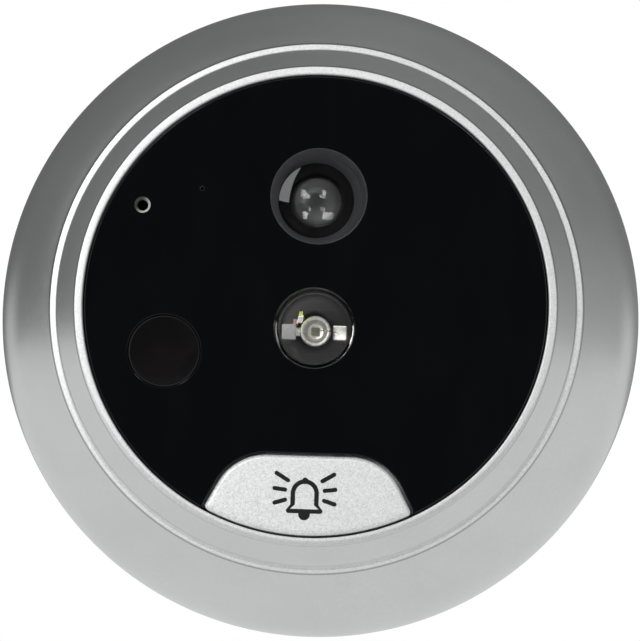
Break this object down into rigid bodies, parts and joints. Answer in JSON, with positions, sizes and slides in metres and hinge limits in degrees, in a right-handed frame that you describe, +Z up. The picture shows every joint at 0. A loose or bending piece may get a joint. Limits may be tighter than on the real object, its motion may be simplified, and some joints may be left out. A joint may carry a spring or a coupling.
{
  "type": "electronic door viewer outdoor unit",
  "caption": "Round outdoor door viewer unit with silver bezel, black panel, wide-angle camera, clear lamp, motion sensor window, microphone and bell push.",
  "frame": {"origin": "on the axis of the door hole, in the plane of the door's outer face where the gasket rests", "axes": "+Y into the door along the hole, so the face looks along -Y; +Z up with the bell push at the bottom; +X to the right seen from the front"},
  "size_m": [0.066, 0.0669, 0.066],
  "materials": {
    "silver_paint": "satin metallic paint",
    "button_silver": "satin metallic paint on plastic",
    "panel_black": "polished, black behind clear acrylic",
    "symbol_black": "satin inlay",
    "housing_black": "fine moulded texture",
    "hood_grey": "satin",
    "optical_glass": "polished and coated",
    "filter_glass": "coated",
    "clear_resin": "water-clear moulded resin",
    "smoked_window": "smoked, satin inside",
    "plated_steel": "bright tin and nickel plate",
    "brass": "turned",
    "rubber_black": "matte",
    "foam_black": "closed-cell foam",
    "tape_black": "double-sided film",
    "board_green": "solder mask",
    "chip_black": "moulded epoxy",
    "diode_yellow": "phosphor",
    "cable_white": "polyester film over flat conductors",
    "stiffener_blue": "film"
  },
  "bodies": {
    "housing": {"bezel": "silver_paint", "board_screws": "plated_steel", "button_seal": "rubber_black", "cable_grommet": "rubber_black", "cable_socket": "housing_black", "cable_stiffener": "stiffener_blue", "camera_board": "board_green", "camera_connector": "chip_black", "carrier": "housing_black", "case_screws": "plated_steel", "chip_parts": "chip_black", "cover_seal": "rubber_black", "door_cable": "cable_white", "door_gasket": "foam_black", "front_lens": "optical_glass", "front_panel": "panel_black", "image_sensor": "chip_black", "infrared_filter": "filter_glass", "inner_lens": "optical_glass", "led_body": "clear_resin", "led_chip": "diode_yellow", "led_leads": "plated_steel", "led_sleeve": "housing_black", "lens_barrel": "housing_black", "lens_holder": "housing_black", "lens_hood": "hood_grey", "main_board": "board_green", "main_chips": "chip_black", "microphone": "plated_steel", "microphone_boot": "rubber_black", "microphone_wires": "rubber_black", "motion_sensor": "plated_steel", "mounting_posts": "brass", "panel_tape": "tape_black", "post_nuts": "brass", "rear_cover": "housing_black", "sensor_filter": "filter_glass", "sensor_leads": "plated_steel", "sensor_window": "smoked_window", "status_light": "diode_yellow", "switch_body": "housing_black", "switch_cover": "plated_steel", "switch_dome": "plated_steel", "switch_pins": "plated_steel"},
    "bell_push": {"bell_button": "button_silver", "bell_symbol": "symbol_black"},
    "plunger": {"switch_plunger": "chip_black"}
  },
  "joints": [
    {"name": "bell_push_slide", "type": "slide", "parent": "housing", "child": "bell_push", "axis": [0, 1, 0], "range_m": [0, 0.0003], "stiffness_N_per_m": 300},
    {"name": "plunger_slide", "type": "slide", "parent": "housing", "child": "plunger", "axis": [0, 1, 0], "range_m": [0, 0.0003]}
  ],
  "couplings": [
    {"joint": "plunger_slide", "follows": "bell_push_slide", "ratio": 1}
  ]
}
